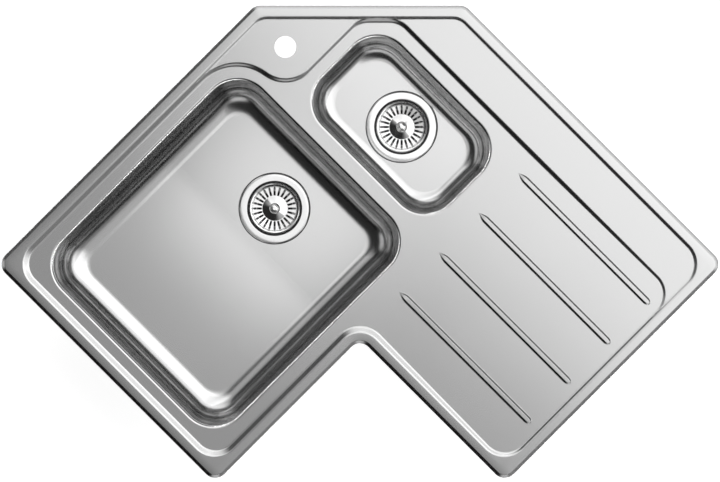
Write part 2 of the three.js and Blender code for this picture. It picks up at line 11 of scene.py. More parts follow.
import bpy
import numpy as np
from mathutils.geometry import delaunay_2d_cdt
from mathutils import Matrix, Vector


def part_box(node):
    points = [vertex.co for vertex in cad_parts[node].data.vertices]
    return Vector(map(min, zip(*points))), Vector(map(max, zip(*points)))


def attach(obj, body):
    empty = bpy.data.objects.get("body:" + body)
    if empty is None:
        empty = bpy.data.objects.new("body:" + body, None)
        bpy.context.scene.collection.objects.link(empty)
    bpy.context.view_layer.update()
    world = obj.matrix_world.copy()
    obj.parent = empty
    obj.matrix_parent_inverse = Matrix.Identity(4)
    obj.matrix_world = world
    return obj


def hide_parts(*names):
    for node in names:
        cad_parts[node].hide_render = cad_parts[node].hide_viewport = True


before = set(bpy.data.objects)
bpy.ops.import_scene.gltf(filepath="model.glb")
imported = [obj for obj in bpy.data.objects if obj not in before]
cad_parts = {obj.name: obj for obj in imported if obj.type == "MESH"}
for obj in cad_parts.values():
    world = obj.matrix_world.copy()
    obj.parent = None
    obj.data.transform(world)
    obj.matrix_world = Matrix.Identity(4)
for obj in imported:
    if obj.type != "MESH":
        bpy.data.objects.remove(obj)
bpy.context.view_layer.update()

# ---------------------------------------------------------------- dimensions, in mm

MM = 0.001
WALL_SIDE = 830.0
LEG_DEPTH = 500.0
BACK_CHAMFER = 240.0
SEAL_INSET = 11.0  # outer edge to the middle of the rim seal
ORIGIN = BACK_CHAMFER / 2 + SEAL_INSET / math.sqrt(2)

EDGE_RADII = {"end": 21, "back": 20, "notch": 19}
TRAY_RADII = {"end": 43, "back": 31, "notch": 37.5}
ROLL_PITCH = math.radians(29)
ROLL_ROUNDS = (0.7, 1.4)  # fillets at the foot and the top of the rolled edge
LIP_Z = 0.3
LIP_TOP_Z = 1.0
RIM_WIDTH = 18.5
RIM_SHOULDER = 2.4  # flat of the rim before the tray's step
RIM_Z = 4.6
RIM_FALL = 0.6
LEDGE_Z = 2.8
WET_Z = -0.4
DRAINER_END_Z = 1.8
STEP_SLOPE = 1.7
STEP_EASE = 1.6
DECK_FLOOR_Z = -7.7
SHEET = 1.0
LEDGE_MARGIN = 2.6  # finely divided border along the feet of the ledge's steps
PAD_THICK = 2.5
PAD_GAP = 0.3
PAD_CORNER_R = 14.0

LEDGE_DEPTH = 89.5
BAY_SIDE = 133.5
TAP = {"u": 82.3, "v": 252.4, "hole_r": 17.5, "bay_r": 51.2}
BAY_FALL = math.radians(9.6)
BAY_RUN_OUT_R = 80
BAY_TOP_R = 40
LEDGE_END_R = 43

RIB = {"count": 4, "first_v": 130.2, "pitch": 90.4, "start_u": 492, "length": 299, "width": 12.2}
RIB_RISE = 2.4
RIB_FLAT = 0.47
RIB_FLANK_ROUND = 0.025
RIB_MARGIN = 1.2
RIB_NOSE = 18
RIB_TAIL = 10

THROAT_R = 5.0
BOWL_CORNER_R = 55.0
BOWLS = {
    "main": {
        "u": 249.3, "v": 555.4, "along": 399.6, "across": 452.2, "depth": 165, "foot_r": 38,
        "waste": (251.6, 450), "outlet_fall": 1.5, "slope": math.tan(math.radians(1.2)),
    },
    "half": {
        "u": 303.2, "v": 209.3, "along": 287.8, "across": 177.6, "depth": 130, "foot_r": 24,
        "waste": (304.9, 208.2), "outlet_fall": 0.0, "slope": 0.0,
    },
}
WALL_DRAFT = 0.055
LEVEL_REACH = 72.0
LEVEL_EASE = 10.0
OUTLET_HOLE_R = 46.0
SEAT_TOP_R = 59.2
SEAT_R = 58.8
SEAT_DEPTH = 2.2

CUP_R = 38.2
CUP_FLOOR = -31.0
LEDGE_IN_CUP = -1.8
GROOVE_IN_CUP = -4.2
BODY_TOP = -5.8
SPIGOT_R = 23.9
SPIGOT_END = -82.0
CUP_SIDES = 120
DRAINS = {"inner": 9.5, "outer": 24.0, "web": (24, 36)}  # each web's angles, in degrees
SLOTS = {"count": 24, "inner": 20.6, "outer": 35.4, "width": 3.5}
SLOT_ROUND = 6  # points round a quarter of a slot's end
SLOT_GAP = 6  # columns from one slot to the next
BASKET_SHEET = 0.8
GASKET_INNER_R = 47.5

ARC_TURN = math.radians(3.75)  # turn between two points of a plan corner
SIDE_SPACING = 14.0  # longest step between two points along a straight side
FLOOR_SPACING = 12  # between two points of a bowl's floor
ROUND_SIDES = 96
RING_SIDES = 72
KNOB_SIDES = 48
DRAINER_START_U = LEG_DEPTH - RIM_WIDTH
DRAINER_END_U = WALL_SIDE - RIM_WIDTH
TRAY_DROP = RIM_Z - LEDGE_Z
TRAY_REACH = TRAY_DROP * STEP_SLOPE


# ---------------------------------------------------------------- plan outlines

def corners(*rows):
    """Corners of an anticlockwise loop, one row of x, y and radius for each (u, v, radius)."""
    table = np.array(rows, float)
    table[:, 1] *= -1
    return table


def headings(table):
    """Unit vectors along the sides that lead into and out of each corner."""
    into = table[:, :2] - np.roll(table[:, :2], 1, axis=0)
    into /= np.linalg.norm(into, axis=1, keepdims=True)
    return into, np.roll(into, -1, axis=0)


def left_of(heading):
    """Vectors turned a quarter to the left."""
    return np.stack([-heading[..., 1], heading[..., 0]], axis=-1)


def cross2(a, b):
    """Cross product in the plane."""
    return a[..., 0] * b[..., 1] - a[..., 1] * b[..., 0]


def inset(table, distance):
    """The corners with every side moved in by a distance, and each arc's centre kept."""
    into, out = headings(table)
    bisector = (left_of(into) + left_of(out)) / (1 + (into * out).sum(1))[:, None]
    radius = table[:, 2] - np.sign(cross2(into, out)) * distance
    return np.column_stack([table[:, :2] + bisector * distance, radius])


def tangents(table):
    """For each corner: where its arc starts and ends, the arc's centre, and its signed turn."""
    into, out = headings(table)
    turn = np.arctan2(cross2(into, out), (into * out).sum(1))
    cut = (table[:, 2] * np.tan(np.abs(turn) / 2))[:, None]
    start = table[:, :2] - into * cut
    end = table[:, :2] + out * cut
    centre = start + left_of(into) * (table[:, 2] * np.sign(turn))[:, None]
    return start, end, centre, turn


def steps_for(table):
    """Steps along each corner's arc and each side after it, from the turn and the length."""
    start, end, _, turn = tangents(table)
    side = np.linalg.norm(np.roll(start, -1, axis=0) - end, axis=1)
    arcs = np.ceil(np.abs(turn) / ARC_TURN - 1e-6).astype(int)
    sides = np.maximum(1, np.ceil(side / SIDE_SPACING - 1e-3)).astype(int)
    return arcs, sides


def loop(table, steps=None):
    """Points and inward normals of a rounded loop, and each corner's first index.

    A corner is an arc of its radius, in even turns. The side after it is split evenly.
    """
    arcs, sides = steps or steps_for(table)
    start, end, centre, turn = tangents(table)
    _, out = headings(table)
    points, normals, firsts = [], [], []
    for i, (arc, side) in enumerate(zip(arcs, sides)):
        firsts.append(sum(map(len, points)))
        angle = turn[i] * (np.arange(arc + 1) / max(arc, 1))
        spoke = start[i] - centre[i]
        inward = left_of(headings(table)[0])[i]
        cosine, sine = np.cos(angle)[:, None], np.sin(angle)[:, None]
        points.append(centre[i] + spoke * cosine + left_of(spoke) * sine)
        normals.append(inward * cosine + left_of(inward) * sine)
        share = (np.arange(1, side) / side)[:, None]
        after = start[(i + 1) % len(table)]
        points.append(end[i] + (after - end[i]) * share)
        normals.append(np.repeat(left_of(out[i])[None], side - 1, axis=0))
    return np.concatenate(points), np.concatenate(normals), np.array(firsts)


def inside_by(table, p):
    """Signed distance of points from a rounded loop, positive inside.

    The nearest of the loop's sides and arcs decides both the distance and the sign.
    """
    start, end, centre, turn = tangents(table)
    _, out = headings(table)
    best = np.full(len(p), np.inf)
    signed = np.zeros(len(p))
    for i in range(len(table)):
        length = np.linalg.norm(start[(i + 1) % len(table)] - end[i])
        run = np.clip((p - end[i]) @ out[i], 0, length)
        away = p - end[i] - run[:, None] * out[i]
        far = np.linalg.norm(away, axis=1)
        side = np.sign((p - end[i]) @ left_of(out[i]))
        near = far < best
        best = np.where(near, far, best)
        signed = np.where(near, far * side, signed)
        if abs(turn[i]) < 1e-6:
            continue
        spoke, arm = start[i] - centre[i], p - centre[i]
        reach = np.linalg.norm(arm, axis=1)
        angle = np.arctan2(cross2(spoke, arm), arm @ spoke) * np.sign(turn[i])
        far = np.abs(reach - table[i, 2])
        near = (angle >= 0) & (angle <= abs(turn[i])) & (far < best)
        best = np.where(near, far, best)
        signed = np.where(near, (table[i, 2] - reach) * np.sign(turn[i]), signed)
    return signed


def split_side(table, before, foot):
    """The corners with a turnless one put in after corner `before`, beside the point foot."""
    _, out = headings(table)
    p = table[before, :2] + out[before] * ((foot - table[before, :2]) @ out[before])
    return np.insert(table, before + 1, [*p, 0], axis=0)


def deck_corners(radii):
    """The outer edge's seven corners, from the chamfer's left end round by the front."""
    return corners(
        (0, BACK_CHAMFER, radii["back"]),
        (0, WALL_SIDE, radii["end"]),
        (LEG_DEPTH, WALL_SIDE, radii["end"]),
        (LEG_DEPTH, LEG_DEPTH, radii["notch"]),
        (WALL_SIDE, LEG_DEPTH, radii["end"]),
        (WALL_SIDE, 0, radii["end"]),
        (BACK_CHAMFER, 0, radii["back"]),
    )


def tray_corners():
    """The rim's inner line: the outer edge moved in, with wider radii."""
    table = inset(deck_corners(EDGE_RADII), RIM_WIDTH)
    table[:, 2] = deck_corners(TRAY_RADII)[:, 2]
    return table


def wet_corners():
    """Top line of the step down to the wet area, with the tap's bay as two arcs in an S."""
    _, left_end, notch_end, notch, front, back, _ = inset(tray_corners(), TRAY_REACH)
    line_u = left_end[0]
    chamfer_sum = BACK_CHAMFER + (RIM_WIDTH + TRAY_REACH) * math.sqrt(2)
    bay_v = TAP["v"] + TAP["bay_r"] * math.tan(math.pi / 4 - BAY_FALL / 2)
    run_out_v = bay_v + (BAY_SIDE - line_u) * math.tan(BAY_FALL)
    return np.array([
        (BAY_SIDE, -bay_v, TAP["bay_r"]),
        (line_u, -run_out_v, BAY_RUN_OUT_R),
        left_end, notch_end, notch, front,
        (back[0], -LEDGE_DEPTH, back[2]),
        (chamfer_sum - LEDGE_DEPTH, -LEDGE_DEPTH, LEDGE_END_R),
        (BAY_SIDE, BAY_SIDE - chamfer_sum, BAY_TOP_R),
    ])


def rectangle(bowl, distance, radius):
    """Corners of a bowl's opening, drawn in by a distance."""
    u, v = bowl["u"], bowl["v"]
    half_u, half_v = bowl["along"] / 2 - distance, bowl["across"] / 2 - distance
    return corners(
        (u - half_u, v - half_v, radius),
        (u - half_u, v + half_v, radius),
        (u + half_u, v + half_v, radius),
        (u + half_u, v - half_v, radius),
    )


# ---------------------------------------------------------------- surfaces

def at_height(points, z):
    """Plan points with a height for each, or one for all."""
    return np.column_stack([points, np.broadcast_to(z, len(points))])


def net(rows, closed=True):
    """Four-sided faces over rows of points. A closed net joins each row's end to its start."""
    points = np.stack(rows)
    count, width = points.shape[:2]
    index = np.arange(count * width).reshape(count, width)
    if closed:
        index = np.concatenate([index, index[:, :1]], axis=1)
    low, high = index[:-1], index[1:]
    faces = np.stack([low[:, :-1], low[:, 1:], high[:, 1:], high[:, :-1]], axis=-1)
    return points.reshape(-1, 3), faces.reshape(-1, 4)


def within(p, outlines):
    """True where a point lies inside an odd number of closed outlines."""
    odd = np.zeros(len(p), bool)
    for outline in outlines:
        a, b = outline, np.roll(outline, -1, axis=0)
        for part in np.array_split(np.arange(len(p)), max(1, len(p) // 2000)):
            x, y = p[part, 0][:, None], p[part, 1][:, None]
            spans = (a[:, 1] > y) != (b[:, 1] > y)
            rise = np.where(b[:, 1] == a[:, 1], 1, b[:, 1] - a[:, 1])
            crossing = a[:, 0] + (y - a[:, 1]) / rise * (b[:, 0] - a[:, 0])
            odd[part] ^= ((spans & (x < crossing)).sum(1) % 2).astype(bool)
    return odd


def fill(outlines, height, spacing=14.0):
    """A level or gently curved area inside the first outline and outside the others.

    It is Delaunay triangles through the outlines and a staggered grid of points. `height`
    gives each point its z.
    """
    edge = np.concatenate(outlines)
    starts = np.cumsum([0] + [len(o) for o in outlines[:-1]])
    ends = np.concatenate([np.column_stack([
        np.arange(len(o)), np.roll(np.arange(len(o)), -1)]) + s for o, s in zip(outlines, starts)])
    low, high = outlines[0].min(0), outlines[0].max(0)
    xs, ys = np.meshgrid(
        np.arange(low[0], high[0], spacing), np.arange(low[1], high[1], spacing * 0.866))
    xs = xs + (np.arange(len(xs)) % 2)[:, None] * spacing / 2
    seeds = np.column_stack([xs.ravel(), ys.ravel()])
    seeds = seeds[within(seeds, outlines)]
    nearest = np.concatenate([
        np.linalg.norm(part[:, None] - edge[None], axis=2).min(1)
        for part in np.array_split(seeds, max(1, len(seeds) // 400))])
    seeds = seeds[nearest > spacing * 0.45]
    points = np.concatenate([edge, seeds])
    made = delaunay_2d_cdt(points.tolist(), ends.tolist(), [], 0, 1e-5, False)
    flat = np.array([tuple(p) for p in made[0]])
    faces = np.array(made[2])
    faces = faces[within(flat[faces].mean(1), outlines)]
    a, b, c = flat[faces[:, 0]], flat[faces[:, 1]], flat[faces[:, 2]]
    clockwise = cross2(b - a, c - a) < 0
    faces[clockwise] = faces[clockwise][:, ::-1]
    return at_height(flat, height(flat)), faces[:, [0, 1, 2, 2]]


def join(*patches):
    """Patches as one surface, with points within a thousandth of a millimetre made one."""
    offsets = np.cumsum([0] + [len(points) for points, _ in patches[:-1]])
    points = np.concatenate([p for p, _ in patches])
    faces = np.concatenate([f + o for (_, f), o in zip(patches, offsets)])
    keys = np.round(points * 1000).astype(np.int64)
    _, first, owner = np.unique(keys, axis=0, return_index=True, return_inverse=True)
    faces = owner.reshape(-1)[faces]
    points = points[first]
    used, faces = np.unique(faces, return_inverse=True)
    return points[used], faces.reshape(-1, 4)


def face_normals(points, faces):
    """Cross product of each face's diagonals: its normal, twice its area long."""
    a, b, c, d = (points[faces[:, k]] for k in range(4))
    return np.cross(c - a, d - b)


def point_normals(points, faces):
    """Each point's normal: the sum of its faces' normals, weighted by area."""
    across = face_normals(points, faces)
    total = np.zeros_like(points)
    for k in range(4):
        np.add.at(total, faces[:, k], across)
    length = np.linalg.norm(total, axis=1, keepdims=True)
    return total / np.maximum(length, 1e-12)


def thicken(points, faces, thickness):
    """A sheet's closed skin: the face given, a copy moved back along the normals, and the
    edges between them."""
    count = len(points)
    back = points - point_normals(points, faces) * thickness
    tails, heads = faces.ravel(), np.roll(faces, -1, axis=1).ravel()
    real = tails != heads
    tails, heads = tails[real], heads[real]
    lone = ~np.isin(tails * count + heads, heads * count + tails)
    tails, heads = tails[lone], heads[lone]
    sides = np.column_stack([heads, tails, tails + count, heads + count])
    return np.concatenate([points, back]), np.concatenate([faces, faces[:, ::-1] + count, sides])


def filleted(*rows, steps=6):
    """A profile through (radius, height, fillet) points, with a round at each fillet."""
    table = np.array(rows, float)
    p, radius = table[:, :2], table[:, 2]
    along = np.diff(p, axis=0)
    along /= np.linalg.norm(along, axis=1, keepdims=True)
    parts = [p[:1]]
    for i in range(1, len(p) - 1):
        into, out = along[i - 1], along[i]
        turn = math.atan2(cross2(into, out), into @ out)
        if radius[i] <= 0 or abs(turn) < 1e-6:
            parts.append(p[i:i + 1])
            continue
        start = p[i] - into * radius[i] * math.tan(abs(turn) / 2)
        centre = start + left_of(into) * radius[i] * np.sign(turn)
        angle = turn * np.arange(steps + 1)[:, None] / steps
        spoke = start - centre
        parts.append(centre + spoke * np.cos(angle) + left_of(spoke) * np.sin(angle))
    parts.append(p[-1:])
    return np.concatenate(parts)


def turned(profile, sides=ROUND_SIDES, closed=False):
    """A profile of (radius, height) points carried round the axis, in even turns."""
    if closed:
        profile = np.concatenate([profile, profile[:1]])
    angle = 2 * math.pi * np.arange(sides) / sides
    radius, z = profile[:, 0][:, None], profile[:, 1][:, None]
    points = np.stack([
        radius * np.cos(angle), radius * np.sin(angle), np.broadcast_to(z, (len(profile), sides))
    ], axis=-1)
    return net(list(points))


def outward(surface):
    """The surface with its faces turned to point out, judged by its signed volume."""
    points, faces = surface
    corners_of = points[faces]
    volume = np.einsum("ij,ij->i", corners_of[:, 0], face_normals(points, faces)).sum()
    return (points, faces[:, ::-1]) if volume < 0 else surface


def moved(surface, place):
    """The surface carried to a place."""
    return surface[0] + np.asarray(place, float), surface[1]


def to_frame(points):
    """Plan places in millimetres as places in the frame, in metres."""
    return (points + [-ORIGIN, ORIGIN, 0]) * MM


def piece(name, surface, material, body="root", stands_for=(), crease=35,
          back=None):
    """A Blender mesh of the surface, on its body, in place of its nodes. With a second
    material, the skin that `thicken` adds behind the face takes that one."""
    points, faces = surface
    keep = faces != np.roll(faces, -1, axis=1)
    total = keep.sum(1)
    keep[total < 3] = False
    total = total[total > 2]
    mesh = bpy.data.meshes.new(name)
    mesh.vertices.add(len(points))
    mesh.vertices.foreach_set("co", to_frame(points).astype(np.float32).ravel())
    mesh.loops.add(int(total.sum()))
    mesh.loops.foreach_set("vertex_index", faces[keep].astype(np.int32))
    mesh.polygons.add(len(total))
    mesh.polygons.foreach_set("loop_start", np.cumsum([0, *total[:-1]]).astype(np.int32))
    mesh.materials.append(material)
    if back:
        mesh.materials.append(back)
        behind = faces.min(axis=1) >= len(points) // 2
        mesh.polygons.foreach_set("material_index", behind.astype(np.int32))
    mesh.update(calc_edges=True)
    mesh.validate()
    mesh.polygons.foreach_set("use_smooth", np.ones(len(mesh.polygons), bool))
    mesh.set_sharp_from_angle(angle=math.radians(crease))
    made = bpy.data.objects.new(name, mesh)
    bpy.context.scene.collection.objects.link(made)
    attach(made, body)
    if stands_for:
        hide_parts(*stands_for)
    return made


# ---------------------------------------------------------------- materials

def group(name, inputs, outputs):
    """A new shader node group, with its input and output nodes."""
    made = bpy.data.node_groups.new(name, "ShaderNodeTree")
    for title, kind, default in inputs:
        socket = made.interface.new_socket(name=title, in_out="INPUT", socket_type=kind)
        socket.default_value = default
    for title, kind in outputs:
        made.interface.new_socket(name=title, in_out="OUTPUT", socket_type=kind)
    return made, made.nodes.new("NodeGroupInput"), made.nodes.new("NodeGroupOutput")


def wire(tree, *links):
    """Links each source socket to its target."""
    for source, target in links:
        tree.links.new(source, target)


def maths(tree, operation, a, b=None):
    """A Math node fed by sockets or plain numbers."""
    node = tree.nodes.new("ShaderNodeMath")
    node.operation = operation
    for socket, value in zip(node.inputs, (a, b)):
        if isinstance(value, (int, float)):
            socket.default_value = value
        elif value is not None:
            tree.links.new(value, socket)
    return node.outputs[0]


def noise(tree, vector, scale, detail=2.0):
    """A noise texture's grey value at a place. The scale is a number or a socket."""
    node = tree.nodes.new("ShaderNodeTexNoise")
    node.inputs["Detail"].default_value = detail
    tree.links.new(vector, node.inputs["Vector"])
    if isinstance(scale, float):
        node.inputs["Scale"].default_value = scale
    else:
        tree.links.new(scale, node.inputs["Scale"])
    return node.outputs["Fac"]


def ranged(tree, value, low, high, to_low, to_high):
    """A value moved from one range to another, and held at its ends."""
    node = tree.nodes.new("ShaderNodeMapRange")
    tree.links.new(value, node.inputs["Value"])
    for title, number in zip(
            ("From Min", "From Max", "To Min", "To Max"), (low, high, to_low, to_high)):
        node.inputs[title].default_value = number
    return node.outputs["Result"]


def colour_mix(tree, **settings):
    """A Mix node for colours, with its factor, its two colours in and its colour out."""
    node = tree.nodes.new("ShaderNodeMix")
    node.data_type = "RGBA"
    for setting, value in settings.items():
        setattr(node, setting, value)
    return node.inputs[0], node.inputs[6], node.inputs[7], node.outputs[2]


def put_out(tree, source, sink, share, height, dark, light):
    """Ends a finish's group: the share picks a colour and a roughness between two inputs each."""
    rough = tree.nodes.new("ShaderNodeMix")
    factor, first, second, colour = colour_mix(tree)
    wire(tree, (share, rough.inputs[0]), (source.outputs["Rough low"], rough.inputs[2]),
         (source.outputs["Rough high"], rough.inputs[3]),
         (share, factor), (source.outputs[dark], first), (source.outputs[light], second),
         (colour, sink.inputs["Colour"]), (rough.outputs[0], sink.inputs["Roughness"]),
         (height, sink.inputs["Height"]))


def brushed_group():
    """Fine lines of a brushed sheet, from noise drawn out along the brushing, with patches
    where the belt pressed harder or softer."""
    tree, source, sink = group(
        "brushed_sheet",
        [("Lines per metre", "NodeSocketFloat", 2600.0), ("Stretch", "NodeSocketVector", (1, 1, 1)),
         ("Rough low", "NodeSocketFloat", 0.25), ("Rough high", "NodeSocketFloat", 0.35),
         ("Tone low", "NodeSocketColor", (0.6, 0.6, 0.6, 1)),
         ("Tone high", "NodeSocketColor", (0.7, 0.7, 0.7, 1))],
        [("Colour", "NodeSocketColor"), ("Roughness", "NodeSocketFloat"),
         ("Height", "NodeSocketFloat")])
    place = tree.nodes.new("ShaderNodeTexCoord").outputs["Object"]
    drawn = tree.nodes.new("ShaderNodeVectorMath")
    drawn.operation = "MULTIPLY"
    wire(tree, (place, drawn.inputs[0]), (source.outputs["Stretch"], drawn.inputs[1]))
    lines = noise(tree, drawn.outputs[0], source.outputs["Lines per metre"], 3.0)
    blend = maths(tree, "ADD", maths(tree, "MULTIPLY", lines, 0.55),
                  maths(tree, "MULTIPLY", noise(tree, place, 5.0), 0.45))
    share = ranged(tree, blend, 0.32, 0.68, 0.0, 1.0)
    put_out(tree, source, sink, share, lines, "Tone low", "Tone high")
    return tree


def speckle_group():
    """Grain of a moulded, plated or foamed surface: fine noise over broad, faint patches."""
    tree, source, sink = group(
        "fine_speckle",
        [("Grains per metre", "NodeSocketFloat", 900.0),
         ("Dark", "NodeSocketColor", (0.1, 0.1, 0.1, 1)),
         ("Light", "NodeSocketColor", (0.2, 0.2, 0.2, 1)),
         ("Rough low", "NodeSocketFloat", 0.5), ("Rough high", "NodeSocketFloat", 0.7)],
        [("Colour", "NodeSocketColor"), ("Roughness", "NodeSocketFloat"),
         ("Height", "NodeSocketFloat")])
    place = tree.nodes.new("ShaderNodeTexCoord").outputs["Object"]
    grains = noise(tree, place, source.outputs["Grains per metre"], 4.0)
    blend = maths(tree, "ADD", maths(tree, "MULTIPLY", grains, 0.6),
                  maths(tree, "MULTIPLY", noise(tree, place, 24.0), 0.4))
    share = ranged(tree, blend, 0.35, 0.65, 0.0, 1.0)
    put_out(tree, source, sink, share, grains, "Dark", "Light")
    return tree


BRUSHED = brushed_group()
SPECKLE = speckle_group()


def grey(value):
    """An opaque grey."""
    return (value, value, value, 1)


def finish_from(name, effect, values, metallic, bump, distance):
    """A material whose colour, roughness and bump come from one of the shared groups."""
    made = bpy.data.materials.new(name)
    made.use_nodes = True
    tree = made.node_tree
    shader = tree.nodes["Principled BSDF"]
    shader.inputs["Metallic"].default_value = metallic
    pattern = tree.nodes.new("ShaderNodeGroup")
    pattern.node_tree = effect
    for title, value in values.items():
        pattern.inputs[title].default_value = value
    relief = tree.nodes.new("ShaderNodeBump")
    relief.inputs["Strength"].default_value = bump
    relief.inputs["Distance"].default_value = distance
    wire(tree, (pattern.outputs["Colour"], shader.inputs["Base Color"]),
         (pattern.outputs["Roughness"], shader.inputs["Roughness"]),
         (pattern.outputs["Height"], relief.inputs["Height"]),
         (relief.outputs["Normal"], shader.inputs["Normal"]))
    return made


def steel(name, tone, rough, stretch, bump=0.05, spread=0.02):
    """Brushed or polished stainless steel. The stretch draws the lines out along an axis."""
    return finish_from(name, BRUSHED, {
        "Stretch": stretch, "Rough low": rough - spread, "Rough high": rough + spread,
        "Tone low": grey(tone - 0.012), "Tone high": grey(tone + 0.012),
    }, 1.0, bump, 0.00002)


def burnish_and_shade_walls(material, share, tone):
    """Scales a drawn bowl's roughness down where the surface stands upright, as the die leaves it,
    and darkens its colour there as painted shade on the walls."""
    tree = material.node_tree
    shader = tree.nodes["Principled BSDF"]
    parts = tree.nodes.new("ShaderNodeSeparateXYZ")
    wire(tree, (tree.nodes.new("ShaderNodeTexCoord").outputs["Normal"], parts.inputs[0]))
    steep, level = 0.15, 0.6
    upright = ranged(tree, parts.outputs["Z"], steep, level, share, 1.0)
    rough = shader.inputs["Roughness"].links[0].from_socket
    wire(tree, (maths(tree, "MULTIPLY", rough, upright), shader.inputs["Roughness"]))
    # Painted shade: the colour is multiplied down towards the tone where the surface stands
    # upright.
    factor, first, second, shaded = colour_mix(tree, blend_type="MULTIPLY")
    factor.default_value = 1.0
    wire(tree, (shader.inputs["Base Color"].links[0].from_socket, first),
         (ranged(tree, parts.outputs["Z"], steep, level, tone, 1.0), second),
         (shaded, shader.inputs["Base Color"]))


def plain(name, dark, light, rough, metallic, grains, bump, distance=0.0001):
    """A moulded, plated or foamed finish that lies between two colours."""
    spread = 0.06
    return finish_from(name, SPECKLE, {
        "Grains per metre": grains, "Dark": (*dark, 1), "Light": (*light, 1),
        "Rough low": rough - spread, "Rough high": rough + spread,
    }, metallic, bump, distance)


DECK_STEEL = steel("deck_brushed", 0.74, 0.225, (0.02, 1, 1))
# Bowl tone 0.79 against the deck's 0.74 is painted light, making up for the light the bowl walls
# keep off the floor; the lower roughness is the satin finish.
BOWL_STEEL = steel("bowl_satin_painted_lighter", 0.79, 0.2, (1, 1, 0.05))
# Walls: roughness halved, as the die leaves it, and colour darkened to 0.72 as painted shade.
burnish_and_shade_walls(BOWL_STEEL, 0.5, 0.72)
MILL_STEEL = steel("mill_finish_underside", 0.42, 0.42, (1, 1, 0.3), bump=0.2, spread=0.06)
WASTE_STEEL = steel("waste_polished", 0.92, 0.10, (1, 1, 1), bump=0.01)
BASKET_STEEL = steel("basket_polished", 0.95, 0.11, (1, 1, 1), bump=0.01)
ZINC = plain("zinc_plate", (0.5, 0.51, 0.53), (0.62, 0.63, 0.64), 0.4, 1.0, 1500, 0.05)
PLASTIC = plain("moulded_plastic", (0.72, 0.72, 0.7), (0.8, 0.8, 0.78), 0.45, 0, 1200, 0.04)
RUBBER = plain("black_rubber", (0.018, 0.018, 0.02), (0.035, 0.035, 0.038), 0.7, 0, 1600, 0.1)
FOAM = plain("sealing_foam", (0.03, 0.03, 0.032), (0.07, 0.07, 0.073), 0.9, 0, 1100, 0.6, 0.0003)
BITUMEN = plain(
    "damping_pad", (0.02, 0.02, 0.021), (0.045, 0.045, 0.047), 0.75, 0, 500, 0.5, 0.0003)

# ---------------------------------------------------------------- the pressed deck


def eased(x, ease):
    """0 below -ease, x above ease, and a parabola between."""
    return np.where(x < -ease, 0, np.where(x > ease, x, (x + ease) ** 2 / (4 * ease)))


def step_down(distance, drop):
    """Fall of a pressed step at a distance past its top line, rounded at its top and foot."""
    past_foot = distance - drop * STEP_SLOPE
    return (eased(distance, STEP_EASE) - eased(past_foot, STEP_EASE)) / STEP_SLOPE


def wet_z(x):
    """Height of the wet area: level round the bowls, then climbing evenly to the drainer's end."""
    share = eased(x - DRAINER_START_U, 12) / (DRAINER_END_U - DRAINER_START_U)
    return WET_Z + (DRAINER_END_Z - WET_Z) * share


TRAY = tray_corners()
WET = wet_corners()


def deck_z(p):
    """Height of the deck: the rim, less the fall of the tray's step, less the fall of the wet
    area's step. Where both run together they add up to one slope."""
    fall = step_down(inside_by(TRAY, p), TRAY_DROP)
    wet_fall = step_down(inside_by(WET, p), LEDGE_Z - wet_z(p[:, 0]))
    return RIM_Z - fall - wet_fall


def on_deck(p):
    """Plan points lifted onto the deck."""
    return at_height(p, deck_z(p))


def rib_patch(v):
    """One rib: stations along it, each a flat top between straight flanks with small rounds.

    The half width grows as a sine over the nose and shrinks as an ellipse over the tail, and
    the rise over the drainer goes with it. A level margin runs all round. Returns the surface
    and its outline.
    """
    length, nose, tail = RIB["length"], RIB_NOSE, RIB_TAIL
    s = np.concatenate([
        [-RIB_MARGIN],
        nose * (1 - np.cos(np.linspace(0, math.pi / 2, 26))),
        np.linspace(nose, length - tail, 20)[1:-1],
        length - tail + tail * np.sin(np.linspace(0, math.pi / 2, 16)),
        [length + RIB_MARGIN],
    ])
    grow = np.sin(np.clip(s / nose, 0, 1) * math.pi / 2)
    shrink = np.sqrt(1 - (1 - np.clip((length - s) / tail, 0, 1)) ** 2)
    swell = grow * shrink
    half = np.maximum(0.3, RIB["width"] / 2 * swell)
    x = RIB["start_u"] + s
    floor = wet_z(x)
    e = RIB_FLANK_ROUND
    half_across = np.concatenate([
        np.linspace(0, RIB_FLAT - e, 4)[:-1], np.linspace(RIB_FLAT - e, RIB_FLAT + e, 6),
        np.linspace(1 - 2 * e, 1, 6)])
    across = np.concatenate([-half_across[:0:-1], half_across])
    inward = np.abs(across)
    foot = 1 - e
    bump = 1 - (eased(inward - RIB_FLAT, e) - eased(inward - foot, e)) / (foot - RIB_FLAT)
    y = half[:, None] * across
    y = np.column_stack([y[:, 0] - RIB_MARGIN, y, y[:, -1] + RIB_MARGIN])
    bump = np.array([0, *bump, 0])
    points = np.stack([
        np.broadcast_to(x[:, None], y.shape), y - v,
        floor[:, None] + (RIB_RISE * swell)[:, None] * bump,
    ], axis=-1)
    surface = net(list(points), closed=False)
    outline = np.concatenate([
        points[0, ::-1], points[1:, 0], points[-1, 1:], points[-2:0:-1, -1]])[:, :2]
    return (surface[0], surface[1][:, ::-1]), outline


def narrowed(room):
    """Width of a ledge's border: its full margin, or 0.3 of the room where that is less."""
    return np.minimum(LEDGE_MARGIN, 0.3 * np.maximum(0, room))


